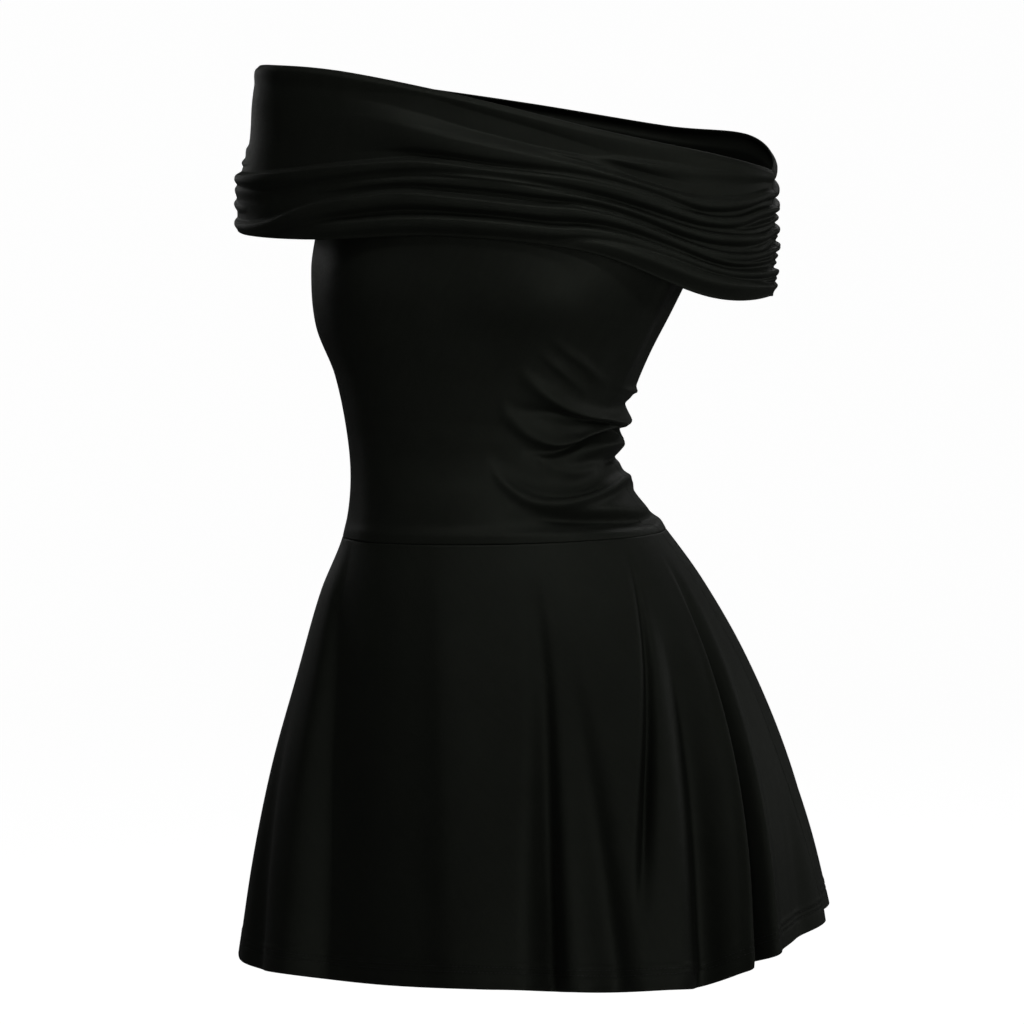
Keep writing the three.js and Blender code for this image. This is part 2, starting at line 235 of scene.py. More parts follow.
@dataclass
class BodyForm:
    """The rings that the whole dress is built on."""

    # level, shift along X, tilt in degrees, half width, half depth to the front and to the back
    rings: tuple[tuple[float, ...], ...] = (
        (-647, 17, 6, 271, 192, 192),
        (-560, 14, 5.6, 254, 178, 180),
        (-480, 10, 5, 232, 160, 163),
        (-400, 5, 4.2, 202, 138, 143),
        (-335, -3, 3.3, 173, 118, 124),
        (-289, -9, 2.5, 146, 103, 108),
        (-250, -21, 1.5, 127, 92, 90),
        (-210, -29, 0, 122, 84, 80),
        (-160, -27, -2.5, 136, 89, 82),
        (-121, -28, -4, 153, 98, 88),
        (-78, -20, -6, 165, 106, 95),
        (-35, -8, -8, 172, 108, 98),
        (0, -9, -9.5, 186, 104, 98),
        (50, -11, -11, 226, 95, 95),
        (95, -11, -11, 229, 86, 90),
    )
    bust_apart: float = 31.0
    bust_level: float = -72.0
    bust_rise: float = 11.0
    bust_across: float = 21.0
    bust_up: float = 36.0

    def __post_init__(self) -> None:
        """Make a curve of each column of the rings."""
        levels, *columns = zip(*self.rings)
        names = ("shift", "tilt", "half_width", "front", "back")
        self.curves = {name: Curve(levels, column) for name, column in zip(names, columns)}

    def bust(self, angle: np.ndarray, level: np.ndarray) -> np.ndarray:
        """How far the bust stands out of its ring, in mm."""
        up = np.exp(-(((level - self.bust_level) / self.bust_up) ** 2))
        sides = sum(
            np.exp(-((turn_from(QUARTER_TURN + sign * self.bust_apart, angle) / self.bust_across) ** 2))
            for sign in (-1, 1)
        )
        return self.bust_rise * up * sides

    def on_ring(
        self,
        angle: np.ndarray,
        level: np.ndarray,
        half_width: np.ndarray,
        shift: np.ndarray,
        out: np.ndarray,
    ) -> np.ndarray:
        """Points on tilted rings.

        Args:
            angle: their angles.
            level: the levels of the rings.
            half_width: the rings' half widths.
            shift: how far the rings move along X.
            out: how far the points stand out of the rings.

        Returns:
            The points in mm, with X, Y and Z along the last axis.
        """
        turn = np.radians(angle)
        across = half_width * np.cos(turn)
        depth = np.where(np.sin(turn) > 0, self.curves["front"](level), self.curves["back"](level))
        forward = depth * np.sin(turn) + self.bust(angle, level)
        tilt = np.radians(self.curves["tilt"](level))
        x = shift + across * np.cos(tilt) + out * np.cos(turn)
        return np.stack([x, -forward * (1 + out / depth), level + across * np.sin(tilt)], axis=-1)

    def points(self, angle: np.ndarray, level: np.ndarray) -> np.ndarray:
        """Points on the plain form of the body of the dress, in mm."""
        half_width, shift = self.curves["half_width"](level), self.curves["shift"](level)
        return self.on_ring(angle, level, half_width, shift, np.zeros_like(level))


def placed(name: str, data: bpy.types.ID) -> bpy.types.Object:
    """Make an object with this name and data, and link it to the scene.

    Args:
        name: the object's name.
        data: its mesh, lamp or camera.

    Returns:
        The object.
    """
    item = bpy.data.objects.new(name, data)
    bpy.context.scene.collection.objects.link(item)
    return item


def outward_normals(points: np.ndarray) -> np.ndarray:
    """The outward normals of a grid of points.

    Args:
        points: the grid, by column (rising angle) and row (downwards).

    Returns:
        A unit normal for each point.
    """
    normal = np.cross(np.gradient(points, axis=0), np.gradient(points, axis=1))
    return normal / np.maximum(np.linalg.norm(normal, axis=-1, keepdims=True), 1e-9)


@dataclass(frozen=True)
class Stitches:
    """A row of short thread stitches, each a tapered bead whose ends sink into the cloth."""

    pitch: float = 3.4
    length: float = 2.7
    radius: float = 0.26
    sides: int = 5
    # each ring's share of the length from the middle, share of the radius and height above the cloth
    profile: tuple[Triple, ...] = (
        (-0.5, 0.3, -0.3), (-0.3, 0.9, 0.05), (0.0, 1.0, 0.12), (0.3, 0.9, 0.05), (0.5, 0.3, -0.3),
    )

    def build(self, name: str, path: np.ndarray, normals: np.ndarray) -> bpy.types.Object:
        """Build a row.

        Args:
            name: the row's name.
            path: points along the cloth's face in mm.
            normals: the cloth's normals there.

        Returns:
            The row's object, linked to the scene.
        """
        along = np.concatenate([[0.0], np.cumsum(np.linalg.norm(np.diff(path, axis=0), axis=1))])
        places = np.arange(self.pitch, along[-1] - self.pitch, self.pitch)

        def read(values: np.ndarray, at: np.ndarray) -> np.ndarray:
            """Values along the row at some distances."""
            return np.stack([np.interp(at, along, column) for column in values.T], axis=-1)

        up = read(normals, places)
        up /= np.linalg.norm(up, axis=-1, keepdims=True)
        forward = read(path, places + 0.5 * self.length) - read(path, places - 0.5 * self.length)
        forward /= np.linalg.norm(forward, axis=-1, keepdims=True)
        side = np.cross(up, forward)
        middle = read(path, places)
        rings = []
        for share, thick, high in self.profile:
            centre = middle + forward * share * self.length + up * high
            rings.append(np.stack([
                centre + self.radius * thick * (math.cos(turn) * side + math.sin(turn) * up)
                for turn in np.arange(self.sides) * 2 * math.pi / self.sides
            ], axis=1))
        vertices = np.stack(rings, axis=1).reshape(-1, 3) * MM
        faces = []
        n, last_ring = self.sides, (len(rings) - 1) * self.sides
        for first in range(0, len(vertices), len(rings) * n):
            faces.append([first + n - 1 - i for i in range(n)])
            faces.append([first + last_ring + i for i in range(n)])
            for low in range(first, first + last_ring, n):
                faces += [[low + i, low + (i + 1) % n, low + n + (i + 1) % n, low + n + i] for i in range(n)]
        mesh = bpy.data.meshes.new(name)
        mesh.from_pydata(vertices.tolist(), [], faces)
        mesh.shade_smooth()
        return placed(name, mesh)


@dataclass
class Panel:
    """A cut piece of cloth, built as a thin closed shell with rounded edges."""

    name: str
    half: Half
    form: BodyForm
    across: int
    down: int
    cut: Triple  # width and length in metres, and area in square metres
    held: Held
    stitch_lines: tuple[float, ...] = ()  # distances of the rows of stitches from the lower edge
    lap: float = 0.09  # how far in degrees the panel laps over its neighbour in the seam
    margin: float = 1.5  # columns are worked out this far past the panel's ends, to find its normals
    edge: float = 1.1  # how far in mm the rounding of an edge reaches
    thin: float = 0.25  # the wall's share of its thickness at the very edge
    close_columns: tuple[float, float] = (0.12, 0.3)  # degrees from an end to its close columns
    close_rows: tuple[float, float] = (0.0022, 0.0055)  # shares from an edge to its close rows
    sewn: list[bpy.types.Object] = field(default_factory=list, init=False)

    def angles(self) -> np.ndarray:
        """The angles of the panel's columns."""
        return self.half.value + np.linspace(0.0, HALF_TURN, self.across)

    def downs(self) -> np.ndarray:
        """The rows' shares of the way down, close together at both edges."""
        close = np.array([0.0, *self.close_rows])
        return np.concatenate([close, np.linspace(0.0, 1.0, self.down - 4)[1:-1], 1.0 - close[::-1]])

    def outer(self, angle: np.ndarray, down: np.ndarray) -> np.ndarray:
        """The outer face at a grid of angles and shares of the way down, in mm."""
        raise NotImplementedError

    def grid(self) -> tuple[np.ndarray, np.ndarray, np.ndarray]:
        """Work out the panel.

        Returns:
            The outer face's points and normals in mm, and for each point its distance along the rows, down
            the columns and from the nearest edge.
        """
        angles = self.angles()
        first, last = angles[0] - self.lap, angles[-1] + self.lap
        close = np.array([0.0, *self.close_columns])
        ends = [[first - self.margin], first + close, last - close[::-1], [last + self.margin]]
        columns = np.unique(np.concatenate([*ends, angles[1:-1]]))
        angle, down = np.meshgrid(columns, self.downs(), indexing="ij")
        points = self.outer(angle, down)
        normals = outward_normals(points)[1:-1]
        points = points[1:-1]
        rows = np.cumsum(np.linalg.norm(np.diff(points, axis=1, prepend=points[:, :1]), axis=-1), axis=1)
        columns = np.cumsum(np.linalg.norm(np.diff(points, axis=0, prepend=points[:1]), axis=-1), axis=0)
        near = np.minimum(np.minimum(rows, rows[:, -1:] - rows), np.minimum(columns, columns[-1:] - columns))
        return points, normals, np.stack([columns, rows, near], axis=-1)

    def stitching(self, points: np.ndarray, normals: np.ndarray) -> list[bpy.types.Object]:
        """Sew the rows of stitches.

        Args:
            points: the panel's outer face in mm.
            normals: its normals.

        Returns:
            One object for each row.
        """
        steps = np.linalg.norm(np.diff(points[:, ::-1], axis=1, prepend=points[:, -1:]), axis=-1)
        from_edge = np.cumsum(steps, axis=1)
        made = []
        for number, line in enumerate(self.stitch_lines, 1):
            both = np.concatenate([points, normals], axis=-1)[:, ::-1]
            at_line = np.array([
                [np.interp(line, reach, values) for values in column.T]
                for reach, column in zip(from_edge, both)
            ])
            made.append(Stitches().build(f"{self.name}_stitches_{number}", at_line[:, :3], at_line[:, 3:]))
        return made

    def build(self) -> bpy.types.Object:
        """Build the panel's mesh.

        Returns:
            The panel's object, linked to the scene.
        """
        points, normals, distances = self.grid()
        self.sewn = self.stitching(points, normals)
        full = np.clip(distances[..., 2] / self.edge, 0.0, 1.0)
        share = self.thin + (1 - self.thin) * np.sqrt(1 - (1 - full) ** 2)
        half = (0.5 * CLOTH * share)[..., None]
        middle = points - normals * 0.5 * CLOTH
        outer, inner = middle + normals * half, middle - normals * half
        columns, rows = full.shape
        vertices = np.concatenate([outer.reshape(-1, 3), inner.reshape(-1, 3)]) * MM
        column, row = np.meshgrid(np.arange(columns - 1), np.arange(rows - 1), indexing="ij")
        a = (column * rows + row).ravel()
        outside = np.stack([a, a + 1, a + rows + 1, a + rows], axis=-1)
        faces = [outside, outside[:, ::-1] + columns * rows]
        ring = np.concatenate([
            np.arange(columns - 1) * rows,
            (columns - 1) * rows + np.arange(rows - 1),
            np.arange(columns - 1, 0, -1) * rows + rows - 1,
            np.arange(rows - 1, 0, -1),
        ])
        after = np.roll(ring, -1)
        faces.append(np.stack([ring, after, after + columns * rows, ring + columns * rows], axis=-1))
        mesh = bpy.data.meshes.new(self.name)
        mesh.from_pydata(vertices.tolist(), [], np.concatenate(faces).tolist())
        mesh.shade_smooth()
        grain = mesh.attributes.new("grain", "FLOAT_VECTOR", "POINT")
        grain.data.foreach_set("vector", np.tile(distances.ravel() * MM, 2))
        return placed(self.name + "_cloth", mesh)

    def declare(self, panel: bpy.types.Object) -> None:
        """Attach the panel and its rows of stitches to the root body, and hide the imported part of the same
        name.
        """
        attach(panel, "root")
        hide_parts(self.name)
        for row in self.sewn:
            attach(row, "root")


@dataclass
class CollarShape:
    """The sizes that both halves of the draped collar share."""

    # angle, level of the upper edge, level of the lower edge
    edges: tuple[Triple, ...] = (
        (0, 71, -50), (30, 77, -55), (60, 80, -27), (90, 86, -31), (120, 86, -50), (150, 78, -58),
        (180, 72, -56), (210, 73, -54), (240, 78, -46), (270, 83, -38), (300, 87, -40), (330, 94, -52),
        (360, 71, -50),
    )
    # share of the height, half width over the arm at +X and at -X
    widths: tuple[Triple, ...] = (
        (0, 246, 227), (0.1, 246, 231), (0.25, 246, 234), (0.5, 246, 236), (0.75, 244, 246), (1, 243, 246),
    )

    def edge(self, side: Edge, angle: np.ndarray) -> np.ndarray:
        """The level of the upper or the lower edge."""
        columns = list(zip(*self.edges))
        return Curve(columns[0], columns[side.value])(np.mod(angle, FULL_TURN))

    def half_width(self, angle: np.ndarray, share: np.ndarray) -> np.ndarray:
        """The half width over the arm on an angle's side."""
        shares, *columns = zip(*self.widths)
        plus, minus = (Curve(shares, column)(share) for column in columns)
        return np.where(np.cos(np.radians(angle)) > 0, plus, minus)


@dataclass
class BodicePanel(Panel):
    """The front or back of the fitted bodice, with the creases pressed into its bent side."""

    crowding: float = 1.35  # the columns crowd towards the bent side
    neckline_below: float = 7.0
    back_neckline_below: float = 24.0
    armhole_from: float = 12.0
    armhole_to: float = 50.0
    underarm_level: float = -26.0
    creased_from: float = -104.0
    chest_rows: float = 0.26
    side_waves: tuple[Triple, ...] = ((14.5, 4.4, 3.2), (-2, 9, -5.6))  # angle, width, rise
    side_ends: tuple[tuple[float, float], ...] = ((-176, 62), (-60, 40))  # level, and over how many mm
    collar: CollarShape = field(default_factory=CollarShape)
    creases: tuple[Fold, ...] = (
        Fold("high_soft", (
            (22, -150, 0, 6, 6), (32, -139, 1.4, 5, 5), (39, -128.5, 2, 5, 5), (46, -119, 1.2, 5, 5),
            (54, -106, 0, 5, 5),
        )),
        Fold("high_soft_lower", (
            (32, -158, 0, 5, 5), (40, -147.5, 1.4, 5, 5), (45.4, -138.5, 1.9, 5, 5), (50, -131.5, 1.2, 5, 5),
            (57, -119, 0, 5, 5),
        )),
        Fold("side_bump", (
            (-34, -158, 0, 3, 3), (-20, -158, 2.4, 3, 3), (-8, -157.5, 3.2, 3, 2.6), (4, -156, 2.4, 3, 3),
            (16, -152, 0, 3, 3),
        )),
        Fold("side_dip", (
            (-30, -171, 0, 5, 5), (-16, -172, -3, 6, 5), (-4, -172, -3.4, 6, 5), (8, -170, -2, 5, 5),
            (20, -166, 0, 5, 5),
        )),
        Fold("long_ridge", (
            (-40, -189, 0, 5, 5), (-24, -188, 6, 6, 6.5), (-10, -187.5, 7.6, 6, 6), (4, -184.5, 7.4, 5, 4.4),
            (18, -181.5, 6.6, 6, 3), (30, -178, 6.2, 7, 3.2), (40, -171.5, 5.6, 7, 4.4),
            (49, -162, 4.4, 7, 6), (57, -149.5, 2.4, 7, 9), (63, -139, 0, 7, 10),
        )),
        Fold("long_trough", (
            (-2, -190.5, 0, 2, 2), (6, -188.5, -3.6, 2, 2), (14, -186.5, -6, 2.4, 2.4),
            (24, -185, -6, 2.8, 3), (36, -182.5, -5.4, 3.4, 4.4), (47, -177.5, -4.2, 5, 6),
            (58, -175.5, -2, 7, 6), (68, -174, 0, 8, 7),
        )),
        Fold("second_ridge", (
            (-8, -190.5, 0, 2, 2), (4, -190.5, 4, 2.4, 2), (14, -191.5, 5.4, 3, 2), (24, -197, 6.2, 5, 2.4),
            (34, -204, 6.8, 7, 3), (43, -205, 6.6, 8, 4.4), (54, -196, 5, 8, 7), (62.5, -183.5, 2.8, 8, 8),
            (69, -171, 0, 8, 8),
        )),
        Fold("second_trough", (
            (-18, -208, 0, 2, 2), (-10, -202, -3, 1.6, 1.6), (-2, -197, -4.4, 1.5, 1.6),
            (8, -194.5, -5.6, 1.5, 1.6), (16, -195.5, -7.2, 1.7, 2), (25, -200, -7.4, 2, 2.8),
            (32, -206, -6.4, 2.2, 3.4), (40, -211, -4.6, 3, 4), (48, -212.5, -2.6, 4, 5), (57, -212, 0, 5, 7),
        )),
        Fold("puff", (
            (-34, -209, 0, 5, 8), (-18, -208, 4.4, 5, 9), (-6, -206, 8, 6, 10), (6, -205, 11, 6.4, 11),
            (16, -206, 11, 6.4, 11), (26, -210, 8, 5.6, 10.5), (36, -216, 3.4, 6, 9), (46, -220, 0, 6, 8),
        ), fullness=2.8),
        Fold("under_puff", (
            (-34, -223, 0, 3, 3), (-18, -223, -3.4, 3, 3), (-8, -223, -6, 3, 3), (4, -223, -5, 3, 3.4),
            (14, -224, 0, 4, 4),
        )),
        Fold("curl", (
            (14, -226, 0, 6, 6), (24, -229, 2.2, 6, 5), (34, -231, 2.6, 6, 5), (44, -226, 2.2, 7, 6),
            (52, -216, 0, 7, 6),
        )),
        Fold("hollow", (
            (20, -240, 0, 8, 8), (34, -243, -3.4, 9, 8), (50, -240, -4, 10, 9), (62, -230, -2.2, 10, 9),
            (72, -218, 0, 10, 9),
        )),
        Fold("deep_curve", (
            (-24, -242, 0, 4, 4), (-10, -242, 3.6, 5, 4), (4, -243.5, 6.4, 6, 4), (16, -248, 7.4, 6, 4),
            (30, -254, 7.8, 6, 4), (44, -259, 7.8, 7, 4), (54, -258.5, 7, 7, 4.4), (61, -252, 5, 8, 6),
            (66.5, -240, 2.6, 8, 7), (71, -229, 0, 8, 8),
        )),
        Fold("fine_line", (
            (4, -238, 0, 1.8, 1.8), (18, -245.5, -2.4, 1.8, 1.8), (36, -252, -2.8, 1.8, 1.8),
            (52, -250, -2.2, 1.8, 1.8), (62, -241, 0, 1.8, 1.8),
        )),
        Fold("low_trough", (
            (-20, -275, 0, 4, 6), (-8, -274.5, -6, 3.4, 8), (4, -273, -10, 3.4, 9), (20, -270, -12, 3.6, 10),
            (34, -269, -12, 3.6, 10), (48, -269, -9, 4.2, 10), (60, -270, -4, 6, 10), (74, -273, 0, 8, 9),
        )),
        Fold("seam_roll", (
            (-40, -282, 0, 4, 5), (-20, -282, 1.6, 4, 5), (20, -282, 2, 4, 5), (60, -282, 1.8, 5, 5),
            (100, -282, 1.2, 5, 5), (150, -282, 0.6, 5, 5), (170, -282, 0, 5, 5),
        )),
        Fold("back_ridge", (
            (300, -148, 0, 8, 6), (312, -158, 3, 8, 5), (326, -174, 5, 7, 4), (340, -182, 5, 6, 3.4),
            (350, -184, 2, 6, 3), (358, -184, 0, 6, 3),
        )),
        Fold("back_trough", (
            (306, -168, 0, 5, 6), (322, -184, -4, 4, 5), (338, -191, -4.6, 3.5, 4), (350, -192, -3, 3.5, 4),
            (356, -191, 0, 3.5, 4),
        )),
        Fold("back_second", (
            (292, -178, 0, 8, 8), (306, -198, 3.6, 8, 7), (320, -208, 5, 7, 5), (336, -206, 4.4, 6, 3),
            (350, -200, 1.6, 5, 3), (356, -198, 0, 5, 3),
        )),
        Fold("back_puff", (
            (322, -220, 0, 6, 8), (334, -214, 3.6, 6, 8), (345, -212, 2.4, 6, 8), (352, -212, 0, 6, 8),
        )),
        Fold("back_curve", (
            (282, -218, 0, 9, 9), (294, -240, 3, 9, 8), (308, -254, 4.8, 8, 6), (326, -254, 4.6, 7, 5),
            (342, -246, 3, 7, 5), (350, -240, 0, 7, 5),
        )),
        Fold("back_low", (
            (290, -274, 0, 8, 8), (310, -270, -3.4, 7, 7), (334, -269, -3, 6, 6), (342, -270, 0, 6, 6),
        )),
        Fold("far_soft", (
            (176, -196, 0, 9, 9), (192, -198, 2, 9, 8), (210, -205, 2.2, 9, 9), (228, -214, 0, 9, 9),
        )),
    )

    def angles(self) -> np.ndarray:
        """The angles of the panel's columns, closer together towards the bent side."""
        t = np.linspace(0.0, 1.0, self.across)
        share = t**self.crowding if self.half is Half.FRONT else 1 - (1 - t) ** self.crowding
        return self.half.value + HALF_TURN * share

    def top(self, angle: np.ndarray) -> np.ndarray:
        """The level of the upper edge: the neckline, falling along the armholes to the underarms."""
        below = self.neckline_below if self.half is Half.FRONT else self.back_neckline_below
        neckline = self.collar.edge(Edge.UPPER, angle) - below
        share = eased((from_side(angle) - self.armhole_from) / (self.armhole_to - self.armhole_from))
        return self.underarm_level + (neckline - self.underarm_level) * share

    def outer(self, angle: np.ndarray, down: np.ndarray) -> np.ndarray:
        """The outer face at a grid of angles and shares of the way down, in mm."""
        top = self.top(angle)
        chest = top + (self.creased_from - top) * down / self.chest_rows
        waist_share = (down - self.chest_rows) / (1 - self.chest_rows)
        waist = self.creased_from + (WAIST_SEAM_LEVEL - self.creased_from) * waist_share
        level = np.where(down < self.chest_rows, chest, waist)
        base = self.form.points(angle, level)
        lift = sum(fold.lift(angle, level, -np.ones_like(level)) for fold in self.creases)
        return base + outward_normals(base) * (lift + self.side_lift(angle, level))[..., None]

    def side_lift(self, angle: np.ndarray, level: np.ndarray) -> np.ndarray:
        """How far the cloth stands out along the bent side's seam, and dips just behind it."""
        low, high = (eased((level - start) / over) for start, over in self.side_ends)
        waves = (rise * np.exp(-((turn_from(at, angle) / width) ** 2)) for at, width, rise in self.side_waves)
        return low * (1 - high) * sum(waves)


@dataclass
class SkirtPanel(Panel):
    """The front or back of the flared skirt, with unpressed flutes that open towards the hem."""

    # angle, and how much lower than its tilted ring the hem hangs there
    hem_drops: tuple[tuple[float, float], ...] = (
        (0, -10), (14, -5), (26, 4), (38, 15), (50, 12), (62, 8), (78, 1), (105, -4), (125, -5), (150, -1),
        (180, 0), (285, 0), (330, -16), (345, -14), (360, -10),
    )
    turn_up: float = 21.0  # height of the turned-up hem
    turn_up_rise: float = 0.45
    turn_up_step: float = 3.0  # how many mm its upper edge takes to fade
    sink: float = 0.4  # how deep the stitches pull the cloth in
    sink_width: float = 1.3
    sink_level: float = 0.95  # the sunk line's share of the stitches' distance from the lower edge
    puckers: tuple[float, float, float, float] = (0.5, 3.1, 1.7, 1.0)  # share, two frequencies, phase
    hem_rows: int = 30  # rows that lie close together over the turned-up hem
    hem_share: float = 0.078
    last_row: float = 0.0015  # share from the lower edge to the last close row
    hang: float = 0.27  # how much lower a trough hangs at the hem, as a share of its depth
    troughs: tuple[Trough, ...] = (
        Trough(top=11, hem=26.5, bow=1, start=0.04, depth=35, left=1.3, right=2.2, lip=0.15),
        Trough(top=4, hem=18, bow=0, start=0.15, depth=6, left=5, right=6),
        Trough(top=28, hem=38.5, bow=1.0, start=0.1, depth=32, left=3.6, right=6.6),
        Trough(top=29, hem=54, bow=4.5, start=-0.02, depth=21, left=1.2, right=1.5, fade=0.55, fade_over=0.35),
        Trough(top=62, hem=58, bow=0.5, start=0.2, depth=16, left=4.6, right=2.6),
        Trough(top=65.5, hem=70.5, bow=1.5, start=0.06, depth=25, left=3.0, right=2.2),
        Trough(top=96, hem=87, bow=-1, start=-0.1, depth=-9, left=5, right=9),
        Trough(top=141, hem=121, bow=-4, start=-0.05, depth=25, left=4.5, right=20),
        Trough(top=160, hem=144, bow=0, start=0.3, depth=10, left=6, right=6),
        Trough(top=188, hem=180, bow=0, start=0.15, depth=16, left=5, right=6, lip=0.1),
        Trough(top=206, hem=204, bow=0, start=0.22, depth=19, left=4, right=6, lip=0.12),
        Trough(top=232, hem=228, bow=0, start=0.3, depth=15, left=5.5, right=4, lip=0.1),
        Trough(top=252, hem=250, bow=1, start=0.12, depth=22, left=3.2, right=4.6, lip=0.14),
        Trough(top=272, hem=273, bow=0, start=0.28, depth=15, left=5.5, right=5, lip=0.1),
        Trough(top=290, hem=295, bow=-1, start=0.1, depth=22, left=3.4, right=3.6, lip=0.14),
        Trough(top=308, hem=315, bow=0, start=0.25, depth=16, left=5, right=3.6, lip=0.1),
        Trough(top=334, hem=353, bow=0, start=0.2, depth=16, left=3.6, right=4.4, lip=0.1),
        Trough(top=354, hem=370, bow=0, start=0.35, depth=8, left=4.6, right=4.6),
    )

    def downs(self) -> np.ndarray:
        """The rows' shares of the way down, close together at the waist seam and over the hem."""
        upper = np.linspace(0.0, 1.0 - self.hem_share, self.down - self.hem_rows - 3)[1:]
        lower = 1.0 - self.hem_share * np.linspace(1.0, 0.0, self.hem_rows)[1:-1]
        return np.concatenate([[0.0, *self.close_rows], upper, lower, [1.0 - self.last_row, 1.0]])

    def outer(self, angle: np.ndarray, down: np.ndarray) -> np.ndarray:
        """The outer face at a grid of angles and shares of the way down, in mm."""
        places, drops = zip(*self.hem_drops)
        hem = HEM_LEVEL - Curve(places, drops)(np.mod(angle, FULL_TURN))
        level = WAIST_SEAM_LEVEL + (hem - WAIST_SEAM_LEVEL) * down
        share = (WAIST_SEAM_LEVEL - level) / (WAIST_SEAM_LEVEL - HEM_LEVEL)
        base = self.form.points(angle, level)
        depth = sum(trough.depth_at(angle, share) for trough in self.troughs)
        inwards = -outward_normals(base)
        inwards[..., 2] = -self.hang * share
        above_hem = level - hem
        hem_band = self.turn_up_rise * (1 - eased((above_hem - self.turn_up) / self.turn_up_step))
        lines = (line * self.sink_level for line in self.stitch_lines)
        sunk = sum(np.exp(-(((above_hem - line) / self.sink_width) ** 2)) for line in lines)
        uneven, first, second, phase = self.puckers
        pucker = 1 + uneven * np.sin(angle * first) * np.sin(angle * second + phase)
        return base + inwards * (depth - hem_band + self.sink * sunk * pucker)[..., None]


